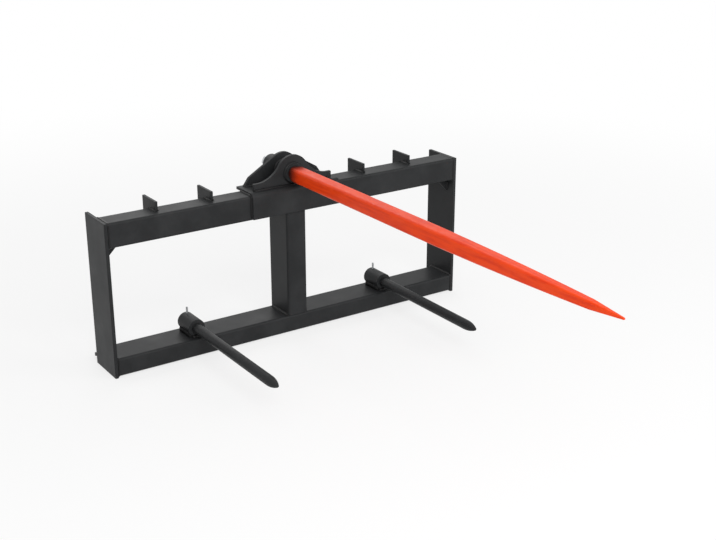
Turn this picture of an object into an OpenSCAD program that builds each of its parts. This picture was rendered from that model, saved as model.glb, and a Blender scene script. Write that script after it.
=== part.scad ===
// Bale spear on a skid-steer quick-attach frame.
// X runs along the frame, the spears point along -Y, and Z is up.
// The origin is on the loader-side face of the centre post, halfway up the end plates.

/* [Frame] */
// Overall width over both end plates
frame_w = 1156; // [1000:1:1400]
// Overall height of the end plates
frame_h = 440; // [366:1:530]
// Front-to-back depth of the end plates
end_plate_depth = 128; // [116:1:170]
// Thickness of the end plates
end_plate_t = 10; // [6:1:16]
// How far the end plates reach below the bottom rail
end_plate_foot = 4; // [1:1:12]

/* [Rails and post] */
// Front-to-back depth of the top rail
top_rail_depth = 70; // [56:1:84]
// Height of the top rail
top_rail_h = 70; // [56:1:84]
// Front-to-back depth of the bottom rail and the centre post
bottom_rail_depth = 104; // [86:1:126]
// Height of the bottom rail
bottom_rail_h = 52; // [42:1:70]
// Width of the centre post
post_w = 64; // [50:1:90]
// Wall of the rails and the post
tube_wall = 5; // [3:0.5:7]
// Outer corner radius of the rails and the post
tube_corner_r = 7; // [4:0.5:10]

/* [Hook] */
// Distance of the inner pair of fins from the frame's centre
fin_inner_x = 251; // [200:1:300]
// Distance of the outer pair of fins from the frame's centre
fin_outer_x = 416; // [340:1:470]
// Thickness of a fin
fin_t = 8; // [6:1:14]
// Height of a fin above the top rail
fin_h = 26; // [20:1:40]
// Distance from the frame's front to a fin's front edge
fin_setback = 28; // [12:1:36]
// Depth of a fin, front to back
fin_depth = 80; // [64:1:90]
// Slope of the hook lip below the horizontal
lip_angle = 45; // [35:1:50]
// Thickness of the hook lip
lip_t = 8; // [6:0.5:12]

/* [Latch shelf] */
// How far the shelf reaches behind the bottom rail
shelf_reach = 64; // [50:1:78]
// Thickness of the shelf
shelf_t = 10; // [6:0.5:12]
// Slope of the shelf below the horizontal
shelf_angle = 18; // [10:1:22]
// Distance between the latch slots, centre to centre
slot_spacing = 860; // [780:1:900]
// End-to-end length of a latch slot
slot_len = 65; // [50:1:80]
// Width of a latch slot
slot_w = 26; // [20:1:30]

/* [Corner gussets] */
// Leg of a corner gusset
gusset_leg = 40; // [32:1:60]
// Thickness of a corner gusset
gusset_t = 8; // [5:1:12]
// Side of the square clipped off a gusset's corner, clear of the welds
gusset_clip = 8; // [4:1:12]

/* [Spear bracket] */
// Width of the saddle plate along the top rail
saddle_w = 286; // [262:1:344]
// Thickness of the saddle plate
saddle_t = 8; // [5:0.5:10]
// How far the saddle reaches behind the top rail
saddle_overhang = 18; // [4:1:24]
// Gap between the saddle's lower edge and the top rail's lower edge
saddle_land = 3; // [1:0.5:8]
// Height of the spear's axis above the top rail
spear_rise = 43; // [40:1:60]
// Width of the bell plate over its flared feet
bell_w = 254; // [240:1:258]
// Height of the bell plate's feet
bell_foot_h = 20; // [10:1:26]
// Radius of the bell plate's crown
bell_crown_r = 51; // [44:1:60]
// Radius of the bell plate's hollow flanks
bell_flank_r = 88; // [70:1:92]
// Thickness of the bell plate and the rear plate
bracket_t = 10; // [6:1:14]
// Distance from the frame's front to the bell plate's front face
bell_setback = 14; // [8:1:20]
// Gap between the rear plate and the saddle's rear edge
rear_plate_inset = 10; // [2:1:14]
// Width of the rear plate at its foot
rear_plate_w = 258; // [240:1:258]
// Width of the rear plate at its shoulders
rear_shoulder_w = 224; // [200:1:236]
// Height of the rear plate's shoulders
rear_shoulder_h = 24; // [14:1:30]
// Radius of the rear plate's crown
rear_crown_r = 48; // [42:1:56]

/* [Spear sleeve] */
// Outside diameter of the sleeve
sleeve_d = 54; // [50:1:66]
// Length of the sleeve
sleeve_len = 132; // [110:1:160]
// How far the sleeve stands in front of the bell plate
sleeve_proud = 8; // [4:1:20]
// Diameter of the tapered bore at the sleeve's front
cone_front_d = 38; // [34:0.5:44]
// Diameter of the tapered bore at the sleeve's back
cone_back_d = 26; // [25:0.5:32]
// Gap all round between the sleeve and the plates that carry it
sleeve_gap = 0.2; // [0.1:0.05:0.5]
// Gap all round between the spear's taper and the sleeve
taper_gap = 0.2; // [0.1:0.05:0.5]
// How far the taper's small end stays inside the sleeve, so that the nut can draw it tight
taper_recess = 4; // [2:0.5:8]

/* [Main spear] */
// Length of the spear in front of the sleeve
spear_len = 1269; // [900:1:1400]
// Side of the square section along the straight part
spear_side = 40; // [34:0.5:48]
// Length of the straight part
spear_straight_len = 566; // [300:1:680]
// Length of the point
spear_point_len = 93; // [60:1:140]
// Side of the square section where the point starts
spear_point_side = 20; // [16:0.5:26]
// Side of the blunt end of the point
spear_tip_side = 4; // [2:0.5:8]
// Corner rounding, as the ratio of the corners' radius to half a side
spear_corner_ratio = 1.24; // [1.1:0.02:1.36]
// Number of flats along the arched nose between the straight part and the point
nose_steps = 10; // [6:1:14]
// Gap between the spear's shoulder and the sleeve's front
shoulder_gap = 3; // [1:0.5:6]
// Diameter of the threaded end
thread_d = 22; // [18:1:24]
// Chamfer at the thread's end
thread_chamfer = 1.6; // [0.5:0.1:3]
// How far the thread reaches behind the nut
thread_proud = 6; // [4:1:20]
// Width across the flats of the nut
nut_af = 32; // [30:1:38]
// Height of the nut
nut_h = 20; // [16:1:26]
// Diameter of the round faces at the nut's ends
nut_face_d = 30.4; // [27:0.1:31]
// Slope of the nut's turned-off corners
nut_chamfer_angle = 30; // [15:1:40]
// Outside diameter of the washer
washer_d = 42; // [38:1:50]
// Thickness of the washer
washer_t = 4; // [3:0.5:6]
// Gap all round between the thread and the washer or the nut
thread_gap = 0.2; // [0.1:0.05:0.5]

/* [Stabilisers] */
// Distance of each stabiliser from the frame's centre
stab_x = 320; // [240:1:400]
// Diameter of a stabiliser spear
stab_d = 28.6; // [24:0.1:32]
// Length of a stabiliser spear in front of the frame
stab_len = 425; // [300:1:560]
// Length of its rounded point
stab_point_len = 42; // [30:1:60]
// Radius of its blunt tip
stab_tip_r = 4; // [2:0.5:7]
// Chamfer at its back end
stab_chamfer = 2; // [0.5:0.5:4]
// Outside diameter of a stabiliser sleeve
stab_sleeve_d = 50; // [46:1:60]
// Length of a stabiliser sleeve
stab_sleeve_len = 70; // [50:1:76]
// Distance from the frame's front to the sleeve's front end
stab_sleeve_setback = 20; // [8:1:26]
// How deep the spear's back end sits inside the sleeve's back end
stab_recess = 4; // [2:0.5:10]
// Gap all round between a stabiliser spear and its sleeve
stab_gap = 0.3; // [0.1:0.05:0.6]
// Diameter of a retaining pin
pin_d = 6; // [5:0.5:8]
// Chamfer at both ends of a pin
pin_chamfer = 1; // [0.3:0.1:1.5]
// Gap all round between a pin and its hole
pin_gap = 0.2; // [0.1:0.05:0.5]
// How far a pin stands above its sleeve
pin_proud = 20; // [12:1:30]
// Distance from a stabiliser spear's back end to the pin
pin_inset = 8; // [5:1:12]
// Gap between a pin's foot and the bottom rail
pin_foot_gap = 0.3; // [0.1:0.1:1]

/* [Hidden] */
$fn = 64;

// Facets of a full circle on the large arcs and on the stabilisers' points
flank_facets = 128;
point_facets = 256;

// Overlap of outlines that flow into each other, and run-through of holes past a face
blend = 0.3;
cut = 1;

// Sharpest inner corner that a cold-formed tube has
sharpest_inner_r = 0.5;

frame_black = [0.16, 0.165, 0.17];
spear_orange = [0.85, 0.27, 0.13];
plated_grey = [0.68, 0.69, 0.70];

// Levels and planes of the frame
front_y = -bottom_rail_depth;
floor_z = -frame_h / 2;
top_z = frame_h / 2;
rail_top_z = floor_z + end_plate_foot + bottom_rail_h;
rail_under_z = top_z - top_rail_h;
top_rail_back_y = front_y + top_rail_depth;
end_plate_back_y = front_y + end_plate_depth;
inside_w = frame_w - 2 * end_plate_t;
inside_x = inside_w / 2;
mid_rail_y = front_y + top_rail_depth / 2;
tube_inner_r = max(tube_corner_r - tube_wall, sharpest_inner_r);

// The hook lip's upper line starts just below the rail's rounded corner
lip_start_z = top_z - tube_corner_r / 2;
lip_drop = tan(lip_angle);
lip_t_z = lip_t / cos(lip_angle);
lip_reach = end_plate_back_y - top_rail_back_y;

// Spear axis and bracket
saddle_top_z = top_z + saddle_t;
spear_z = top_z + spear_rise;
crown_rise = spear_z - saddle_top_z;
bell_front_y = front_y + bell_setback;
sleeve_front_y = bell_front_y - sleeve_proud;
sleeve_back_y = sleeve_front_y + sleeve_len;
saddle_back_y = top_rail_back_y + saddle_overhang;
rear_plate_y = saddle_back_y - rear_plate_inset - bracket_t;
washer_back_y = sleeve_back_y + washer_t;
nut_back_y = washer_back_y + nut_h;

// Stabilisers
stab_z = rail_top_z + stab_sleeve_d / 2;
stab_sleeve_front_y = front_y + stab_sleeve_setback;
stab_sleeve_back_y = stab_sleeve_front_y + stab_sleeve_len;
stab_back_y = stab_sleeve_back_y - stab_recess;
pin_y = stab_back_y - pin_inset;

// Rectangle with round corners, centred, made of squares and circles
module round_rect(w, h, r) {
    square([w - 2 * r, h], center = true);
    square([w, h - 2 * r], center = true);
    for (x = [-1, 1], y = [-1, 1])
        translate([x * (w / 2 - r), y * (h / 2 - r)])
            circle(r = r);
}

// Cross-section of a rectangular tube
module tube_section(w, h) {
    difference() {
        round_rect(w, h, tube_corner_r);
        round_rect(w - 2 * tube_wall, h - 2 * tube_wall, tube_inner_r);
    }
}

// Extrudes a profile drawn as (y, z) along X, centred on x
module along_x(length, x = 0) {
    translate([x - length / 2, 0, 0])
        rotate([90, 0, 90])
            linear_extrude(height = length)
                children();
}

// Extrudes a profile drawn as (x, z) along +Y from y
module along_y(length, y = 0) {
    translate([0, y + length, 0])
        rotate([90, 0, 0])
            linear_extrude(height = length)
                children();
}

// Cylinder along +Y from y, on the axis (x, z)
module rod_y(d, length, x, y, z) {
    translate([x, y, z])
        rotate([-90, 0, 0])
            cylinder(d = d, h = length);
}

// ---- Frame ----

module top_rail() {
    color(frame_black)
        along_x(inside_w)
            translate([mid_rail_y, top_z - top_rail_h / 2])
                tube_section(top_rail_depth, top_rail_h);
}

module bottom_rail() {
    color(frame_black)
        along_x(inside_w)
            translate([-bottom_rail_depth / 2, rail_top_z - bottom_rail_h / 2])
                tube_section(bottom_rail_depth, bottom_rail_h);
}

// The post is sawn square at both ends and stands between the rails, flush with the bottom one.
// Where the hook lip comes down lower than the top rail, the post is cut to the lip's underside.
module centre_post() {
    color(frame_black)
        difference() {
            translate([0, -bottom_rail_depth / 2, rail_top_z])
                linear_extrude(height = rail_under_z - rail_top_z)
                    tube_section(post_w, bottom_rail_depth);
            along_x(post_w + 2 * cut)
                translate([top_rail_back_y, 0])
                    polygon([
                        [0, lip_top_z(0) - lip_t_z],
                        [lip_reach, lip_top_z(lip_reach) - lip_t_z],
                        [lip_reach, top_z],
                        [0, top_z]
                    ]);
        }
}

module end_plate(side) {
    color(frame_black)
        along_x(end_plate_t, side * (inside_x + end_plate_t / 2))
            translate([front_y, floor_z])
                square([end_plate_depth, frame_h]);
}

// ---- Quick-attach hook and latch shelf ----

// Height of the hook lip's upper line at a distance behind the top rail
function lip_top_z(behind) = lip_start_z - behind * lip_drop;

module hook_lip() {
    color(frame_black)
        along_x(inside_w)
            translate([top_rail_back_y, 0])
                polygon([
                    [0, lip_top_z(0)],
                    [lip_reach, lip_top_z(lip_reach)],
                    [lip_reach, lip_top_z(lip_reach) - lip_t_z],
                    [0, lip_top_z(0) - lip_t_z]
                ]);
}

// A fin stands on the top rail, reaches back and comes down on the hook lip
module hook_fin(x) {
    fin_front_y = front_y + fin_setback;
    fin_back_y = fin_front_y + fin_depth;
    color(frame_black)
        along_x(fin_t, x)
            polygon([
                [fin_front_y, top_z],
                [fin_front_y, top_z + fin_h],
                [fin_back_y, top_z + fin_h],
                [fin_back_y, lip_top_z(fin_back_y - top_rail_back_y)],
                [top_rail_back_y, lip_top_z(0)],
                [top_rail_back_y, top_z]
            ]);
}

// Sloping plate behind the bottom rail with a slot near each end for the loader's latch pins
module latch_shelf() {
    drop = tan(shelf_angle);
    shelf_t_z = shelf_t / cos(shelf_angle);
    back_z = floor_z + shelf_t * sin(shelf_angle);
    front_z = back_z + shelf_reach * drop;
    slot_y = shelf_reach / 2;
    slot_z = back_z + slot_y * drop;
    color(frame_black)
        difference() {
            along_x(inside_w)
                polygon([
                    [0, front_z],
                    [0, front_z + shelf_t_z],
                    [shelf_reach, back_z + shelf_t_z],
                    [shelf_reach, back_z]
                ]);
            for (side = [-1, 1])
                translate([side * slot_spacing / 2, slot_y, slot_z - shelf_reach])
                    linear_extrude(height = 2 * shelf_reach)
                        obround(slot_len, slot_w);
        }
}

// Slot outline with round ends, along X
module obround(length, width) {
    square([length - width, width], center = true);
    for (x = [-1, 1])
        translate([x * (length - width) / 2, 0])
            circle(d = width);
}

// ---- Corner gussets ----

// Right-angled plate in the upper outer corner of a window, with its own corner clipped
module corner_gusset(side) {
    color(frame_black)
        along_y(gusset_t, mid_rail_y - gusset_t / 2)
            translate([side * inside_x, rail_under_z])
                polygon([
                    [-side * gusset_clip, 0],
                    [-side * gusset_leg, 0],
                    [0, -gusset_leg],
                    [0, -gusset_clip]
                ]);
}

// ---- Spear bracket ----

// Plate bent over the top rail's front and top, with its inner bend on the rail's corner
module spear_saddle() {
    bend_y = front_y + tube_corner_r;
    bend_z = top_z - tube_corner_r;
    lower_z = rail_under_z + saddle_land;
    outer_r = tube_corner_r + saddle_t;
    color(frame_black)
        along_x(saddle_w) {
            translate([front_y - saddle_t, lower_z])
                square([saddle_t, bend_z - lower_z]);
            translate([bend_y, top_z])
                square([saddle_back_y - bend_y, saddle_t]);
            translate([bend_y, bend_z])
                intersection() {
                    difference() {
                        circle(r = outer_r);
                        circle(r = tube_corner_r);
                    }
                    translate([-outer_r, 0])
                        square(outer_r);
                }
        }
}

// Bell outline: round crown, hollow flanks that run into low flared feet.
// The flank circles run "blend" into the crown and the feet, so that they cross them cleanly.
module bell_outline() {
    flank_z = bell_foot_h + bell_flank_r - blend;
    span = bell_crown_r + bell_flank_r - blend;
    flank_x = sqrt(span * span - pow(flank_z - crown_rise, 2));
    meet = (bell_crown_r - blend / 2) / span;
    meet_x = meet * flank_x;
    meet_z = crown_rise + meet * (flank_z - crown_rise);
    translate([0, crown_rise])
        circle(r = bell_crown_r);
    translate([-bell_w / 2, 0])
        square([bell_w, bell_foot_h]);
    difference() {
        polygon([
            [-flank_x, 0],
            [flank_x, 0],
            [flank_x, bell_foot_h],
            [meet_x, meet_z],
            [-meet_x, meet_z],
            [-flank_x, bell_foot_h]
        ]);
        for (side = [-1, 1])
            translate([side * flank_x, flank_z])
                circle(r = bell_flank_r, $fn = flank_facets);
    }
}

// Hole for the sleeve, drawn in a bracket plate's own outline frame
module sleeve_hole() {
    translate([0, crown_rise])
        circle(d = sleeve_d + 2 * sleeve_gap);
}

// Keeps the part of an outline that stands above the saddle
module above_saddle() {
    intersection() {
        children();
        translate([-saddle_w / 2, 0])
            square([saddle_w, frame_h]);
    }
}

module bell_plate() {
    color(frame_black)
        translate([0, 0, saddle_top_z])
            along_y(bracket_t, bell_front_y)
                difference() {
                    above_saddle()
                        bell_outline();
                    sleeve_hole();
                }
}

// Rear outline: sloping feet, shoulders, and straight flanks that run into the round crown
module rear_outline() {
    shoulder_x = rear_shoulder_w / 2;
    rise = crown_rise - rear_shoulder_h;
    inner_r = rear_crown_r - blend;
    turn = acos(inner_r / norm([shoulder_x, rise])) - atan2(rise, shoulder_x);
    meet_x = inner_r * cos(turn);
    meet_z = crown_rise + inner_r * sin(turn);
    translate([0, crown_rise])
        circle(r = rear_crown_r);
    polygon([
        [-rear_plate_w / 2, 0],
        [rear_plate_w / 2, 0],
        [shoulder_x, rear_shoulder_h],
        [meet_x, meet_z],
        [-meet_x, meet_z],
        [-shoulder_x, rear_shoulder_h]
    ]);
}

module rear_plate() {
    color(frame_black)
        translate([0, 0, saddle_top_z])
            along_y(bracket_t, rear_plate_y)
                difference() {
                    above_saddle()
                        rear_outline();
                    sleeve_hole();
                }
}

// Radius of the tapered bore at a distance behind the sleeve's front end
function cone_r(behind) =
    (cone_front_d + (cone_back_d - cone_front_d) * behind / sleeve_len) / 2;

module spear_sleeve() {
    color(frame_black)
        translate([0, sleeve_front_y, spear_z])
            rotate([-90, 0, 0])
                difference() {
                    cylinder(d = sleeve_d, h = sleeve_len);
                    translate([0, 0, -cut])
                        cylinder(r1 = cone_r(-cut), r2 = cone_r(sleeve_len + cut), h = sleeve_len + 2 * cut);
                }
}

// ---- Main spear ----

// Radius of the arc that leaves the straight part smoothly and ends where the point starts
nose_len = spear_len - spear_straight_len - spear_point_len;
nose_drop = (spear_side - spear_point_side) / 2;
nose_r = (nose_len * nose_len + nose_drop * nose_drop) / (2 * nose_drop);

// Half side of the square section at a distance along the nose
function nose_half(along) = spear_side / 2 - nose_r + sqrt(nose_r * nose_r - along * along);

// Half-outline of the spear against the distance in front of the sleeve, with every half
// side multiplied by k
module spear_profile(k) {
    nose = [
        for (i = [0:nose_steps])
            let (along = nose_len * i / nose_steps)
                [k * nose_half(along), spear_straight_len + along]
    ];
    polygon(concat(
        [[0, shoulder_gap], [k * spear_side / 2, shoulder_gap]],
        nose,
        [[k * spear_tip_side / 2, spear_len], [0, spear_len]]
    ));
}

// The square body is what two crossed tapered slabs and a turned taper have in common
module spear_body() {
    intersection() {
        tapered_slab(0);
        tapered_slab(90);
        rotate_extrude()
            spear_profile(spear_corner_ratio);
    }
}

// One tapered slab, twice as deep as the spear is wide, turned about the spear's axis
module tapered_slab(turn) {
    rotate([90, 0, turn])
        translate([0, 0, -spear_side])
            linear_extrude(height = 2 * spear_side) {
                spear_profile(1);
                mirror([1, 0])
                    spear_profile(1);
            }
}

module main_spear() {
    cone_len = sleeve_len - taper_recess;
    thread_len = taper_recess + washer_t + nut_h + thread_proud;
    color(spear_orange)
        translate([0, sleeve_front_y, spear_z])
            rotate([90, 0, 0]) {
                spear_body();
                translate([0, 0, -cone_len])
                    cylinder(
                        r1 = cone_r(cone_len) - taper_gap,
                        r2 = cone_r(-shoulder_gap) - taper_gap,
                        h = cone_len + shoulder_gap
                    );
                translate([0, 0, -cone_len - thread_len])
                    threaded_end(thread_len);
            }
}

// Plain cylinder for the thread, with a chamfered end
module threaded_end(length) {
    rotate_extrude()
        polygon([
            [0, 0],
            [thread_d / 2 - thread_chamfer, 0],
            [thread_d / 2, thread_chamfer],
            [thread_d / 2, length],
            [0, length]
        ]);
}

module spear_washer() {
    color(plated_grey)
        difference() {
            rod_y(washer_d, washer_t, 0, sleeve_back_y, spear_z);
            rod_y(thread_d + 2 * thread_gap, washer_t + 2 * cut, 0, sleeve_back_y - cut, spear_z);
        }
}

// Hexagon nut with its corners turned off at both ends
module spear_nut() {
    corner_r = nut_af / sqrt(3);
    face_r = nut_face_d / 2;
    slope = tan(nut_chamfer_angle);
    chamfer_h = (corner_r - face_r) * slope;
    color(plated_grey)
        translate([0, washer_back_y, spear_z])
            rotate([-90, 0, 0])
                difference() {
                    intersection() {
                        cylinder(r = corner_r, h = nut_h, $fn = 6);
                        rotate_extrude()
                            polygon([
                                [0, 0],
                                [face_r, 0],
                                [corner_r + cut, chamfer_h + cut * slope],
                                [corner_r + cut, nut_h - chamfer_h - cut * slope],
                                [face_r, nut_h],
                                [0, nut_h]
                            ]);
                    }
                    translate([0, 0, -cut])
                        cylinder(d = thread_d + 2 * thread_gap, h = nut_h + 2 * cut);
                }
}

// ---- Stabilisers ----

module stabilizer_sleeve(side) {
    x = side * stab_x;
    color(frame_black)
        difference() {
            rod_y(stab_sleeve_d, stab_sleeve_len, x, stab_sleeve_front_y, stab_z);
            rod_y(
                stab_d + 2 * stab_gap,
                stab_sleeve_len + 2 * cut,
                x,
                stab_sleeve_front_y - cut,
                stab_z
            );
            pin_hole(x);
        }
}

// Upright hole for the retaining pin through a sleeve or a spear
module pin_hole(x) {
    translate([x, pin_y, rail_top_z - cut])
        cylinder(d = pin_d + 2 * pin_gap, h = stab_sleeve_d + 2 * cut);
}

// Round bar with a rounded, blunt point, turned about its own axis
module stabilizer_spear(side) {
    x = side * stab_x;
    bar_len = stab_back_y - front_y + stab_len - stab_point_len;
    color(frame_black)
        difference() {
            translate([x, stab_back_y, stab_z])
                rotate([90, 0, 0])
                    rotate_extrude() {
                        polygon([
                            [0, 0],
                            [stab_d / 2 - stab_chamfer, 0],
                            [stab_d / 2, stab_chamfer],
                            [stab_d / 2, bar_len],
                            [0, bar_len]
                        ]);
                        translate([0, bar_len])
                            point_outline();
                    }
            pin_hole(x);
        }
}

// Half-outline of the point: a long arc that leaves the bar smoothly, cut by a small flat tip
module point_outline() {
    drop = stab_d / 2 - stab_tip_r;
    arc_r = (stab_point_len * stab_point_len + drop * drop) / (2 * drop);
    intersection() {
        square([stab_d / 2, stab_point_len]);
        translate([stab_d / 2 - arc_r, 0])
            circle(r = arc_r, $fn = point_facets);
    }
}

// Straight pin with chamfered ends
module stabilizer_pin(side) {
    foot_z = rail_top_z + pin_foot_gap;
    length = stab_sleeve_d + pin_proud - pin_foot_gap;
    color(plated_grey)
        translate([side * stab_x, pin_y, foot_z])
            rotate_extrude()
                polygon([
                    [0, 0],
                    [pin_d / 2 - pin_chamfer, 0],
                    [pin_d / 2, pin_chamfer],
                    [pin_d / 2, length - pin_chamfer],
                    [pin_d / 2 - pin_chamfer, length],
                    [0, length]
                ]);
}

top_rail();
bottom_rail();
centre_post();
end_plate(-1);  // end_plate_left
end_plate(1);  // end_plate_right
hook_fin(-fin_outer_x);  // hook_fin_1
hook_fin(-fin_inner_x);  // hook_fin_2
hook_fin(fin_inner_x);  // hook_fin_3
hook_fin(fin_outer_x);  // hook_fin_4
hook_lip();
latch_shelf();
corner_gusset(-1);  // corner_gusset_left
corner_gusset(1);  // corner_gusset_right
spear_saddle();
bell_plate();
rear_plate();
spear_sleeve();
main_spear();
spear_washer();
spear_nut();
stabilizer_sleeve(-1);  // stabilizer_sleeve_left
stabilizer_sleeve(1);  // stabilizer_sleeve_right
stabilizer_spear(-1);  // stabilizer_spear_left
stabilizer_spear(1);  // stabilizer_spear_right
stabilizer_pin(-1);  // stabilizer_pin_left
stabilizer_pin(1);  // stabilizer_pin_right
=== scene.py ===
"""Looks for a quick-attach bale spear: painted welded frame, forged spear, plated nut and pins.

Lengths are metres unless a name ends in _mm, and angles are degrees where one ends in _deg.
Every new piece is a numpy surface in the frame of the CAD model: X along the frame, the spears
along -Y, Z up. Places come from the boxes of the CAD nodes.
"""

import logging
import math
from dataclasses import dataclass
from enum import Enum
from typing import Any, Sequence

import bmesh
import bpy
import numpy as np
from mathutils import Euler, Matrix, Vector


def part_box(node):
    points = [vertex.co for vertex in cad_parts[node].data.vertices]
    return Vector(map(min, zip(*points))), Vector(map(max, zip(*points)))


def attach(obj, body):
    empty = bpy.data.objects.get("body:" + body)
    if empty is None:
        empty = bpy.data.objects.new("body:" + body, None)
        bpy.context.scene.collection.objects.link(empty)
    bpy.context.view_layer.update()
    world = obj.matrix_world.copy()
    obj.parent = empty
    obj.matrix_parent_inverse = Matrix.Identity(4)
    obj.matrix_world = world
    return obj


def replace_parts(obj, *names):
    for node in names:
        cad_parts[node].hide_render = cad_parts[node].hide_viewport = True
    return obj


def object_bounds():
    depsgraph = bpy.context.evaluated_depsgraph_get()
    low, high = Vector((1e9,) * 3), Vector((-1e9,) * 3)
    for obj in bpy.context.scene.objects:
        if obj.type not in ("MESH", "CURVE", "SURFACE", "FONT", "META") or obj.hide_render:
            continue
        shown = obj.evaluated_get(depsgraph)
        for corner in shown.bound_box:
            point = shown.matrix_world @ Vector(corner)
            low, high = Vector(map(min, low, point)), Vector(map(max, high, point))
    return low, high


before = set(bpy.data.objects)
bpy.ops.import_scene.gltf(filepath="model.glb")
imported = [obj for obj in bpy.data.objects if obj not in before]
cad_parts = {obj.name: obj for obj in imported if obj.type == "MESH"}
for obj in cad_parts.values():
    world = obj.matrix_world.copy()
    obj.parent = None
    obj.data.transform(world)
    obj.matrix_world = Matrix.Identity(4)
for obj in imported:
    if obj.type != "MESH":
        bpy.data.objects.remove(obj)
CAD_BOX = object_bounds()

Array = np.ndarray
Box = tuple[Array, Array]
Point = tuple[float, float, float]
Span = tuple[float, float]
LOG = logging.getLogger("bale_spear")
MM = 0.001
X_AXIS, Y_AXIS, Z_AXIS = np.eye(3)


# ---------------- colour and shader nodes

MIX_SHARE, MIX_UNDER, MIX_OVER, MIXED = 0, 6, 7, 2  # sockets of a Mix node set to colour


def linear_rgba(hex_code: str) -> tuple[float, float, float, float]:
    """Turns an sRGB hex colour into linear light with full opacity.

    Each channel c follows the sRGB curve: c / 12.92 below 0.04045, otherwise
    ((c + 0.055) / 1.055) to the power 2.4.

    Args:
        hex_code: Six hex digits with a leading #.

    Returns:
        Linear red, green and blue, and an alpha of 1.
    """
    digits = hex_code.lstrip("#")
    srgb = np.array([int(digits[i:i + 2], 16) for i in (0, 2, 4)]) / 255.0
    linear = np.where(srgb <= 0.04045, srgb / 12.92, ((srgb + 0.055) / 1.055) ** 2.4)
    return (*linear.tolist(), 1.0)


def add_node(tree: Any, kind: str, inputs: dict[Any, Any] | None = None,
             **settings: Any) -> Any:
    """Adds one shader node with its settings and links.

    Args:
        tree: The material's or world's node tree.
        kind: The node's bl_idname.
        inputs: Input name or index to a value, to the output socket that feeds it, or to a
            node whose first output does.
        settings: Attributes to set on the node.

    Returns:
        The new node.
    """
    node = tree.nodes.new(kind)
    for name, value in settings.items():
        setattr(node, name, value)
    for name, value in (inputs or {}).items():
        if isinstance(value, bpy.types.Node):
            value = value.outputs[0]
        if isinstance(value, bpy.types.NodeSocket):
            tree.links.new(value, node.inputs[name])
        else:
            node.inputs[name].default_value = value
    return node


def new_material(name: str) -> tuple[Any, Any]:
    """Makes an empty node material.

    Args:
        name: The material's name.

    Returns:
        The material, and its empty node tree.
    """
    material = bpy.data.materials.new(name)
    material.use_nodes = True
    material.node_tree.nodes.clear()
    return material, material.node_tree


@dataclass(frozen=True)
class Finish:
    """What the finishes share: a second colour in clouds, and gloss that follows a noise."""

    name: str
    colour: str
    cloud: str  # the second colour
    cloud_at: Span  # noise at which it starts, and at which it is full
    roughness: Span  # where the surface is smoothest, and where it is dullest
    rough_at: Span = (0.3, 0.7)  # noise at those two

    def _clouded(self, tree: Any, noise: Any) -> Any:
        """Lays the second colour over the first where a noise is high.

        Args:
            tree: The material's node tree.
            noise: The node with the noise.

        Returns:
            The socket with the colour.
        """
        share = add_node(tree, "ShaderNodeMapRange", {
            "Value": noise, "From Min": self.cloud_at[0], "From Max": self.cloud_at[1]})
        return add_node(tree, "ShaderNodeMix", {
            MIX_SHARE: share, MIX_UNDER: linear_rgba(self.colour),
            MIX_OVER: linear_rgba(self.cloud)}, data_type="RGBA").outputs[MIXED]

    def _shade(self, tree: Any, noise: Any, inputs: dict[str, Any]) -> None:
        """Adds the shader and the output, with gloss that follows a noise.

        Args:
            tree: The material's node tree.
            noise: The node with the noise.
            inputs: The shader's other inputs.
        """
        dull = add_node(tree, "ShaderNodeMapRange", {
            "Value": noise, "From Min": self.rough_at[0], "From Max": self.rough_at[1],
            "To Min": self.roughness[0], "To Max": self.roughness[1]})
        shader = add_node(tree, "ShaderNodeBsdfPrincipled", {"Roughness": dull, **inputs})
        add_node(tree, "ShaderNodeOutputMaterial", {"Surface": shader})


@dataclass(frozen=True)
class BlackEnamel(Finish):
    """Semi-gloss black machinery enamel, sprayed on mill-finish steel.

    The eye sees soft, broad reflections, a fine orange peel, and a few duller patches where
    dust and overspray settled.
    """

    name: str = "black_enamel"
    colour: str = "#232425"
    cloud: str = "#2E2F30"
    cloud_at: Span = (0.40, 0.72)
    roughness: Span = (0.39, 0.56)
    rough_at: Span = (0.3, 0.75)
    ior: float = 1.24
    peel_mm: float = 3.0  # real peel is near 1 mm, drawn coarser so that it shows
    peel_depth_mm: float = 0.12
    patch_mm: float = 90.0

    def build(self) -> Any:
        """Builds the material.

        Returns:
            The finished material.
        """
        material, tree = new_material(self.name)
        place = add_node(tree, "ShaderNodeTexCoord").outputs["Object"]
        patches = add_node(tree, "ShaderNodeTexNoise", {
            "Vector": place, "Scale": 1000.0 / self.patch_mm, "Detail": 5.0,
            "Roughness": 0.62})
        peel = add_node(tree, "ShaderNodeTexNoise", {
            "Vector": place, "Scale": 1000.0 / self.peel_mm, "Detail": 2.0, "Roughness": 0.5})
        bump = add_node(tree, "ShaderNodeBump", {
            "Strength": 0.25, "Distance": self.peel_depth_mm * MM, "Height": peel})
        self._shade(tree, patches, {"Base Color": self._clouded(tree, patches),
                                    "IOR": self.ior, "Normal": bump})
        return material


# The same enamel over weld metal. Its darker colour is painted shade, standing in for the shadow
# in the crevices at the welded corners; its lower roughness makes a bead look wetter than the
# plates beside it.
SHADED_WELD_ENAMEL = BlackEnamel(name="black_enamel_on_weld", colour="#101011", cloud="#19191A",
                          ior=1.3, roughness=(0.31, 0.48), peel_mm=2.0, patch_mm=30.0)


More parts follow.
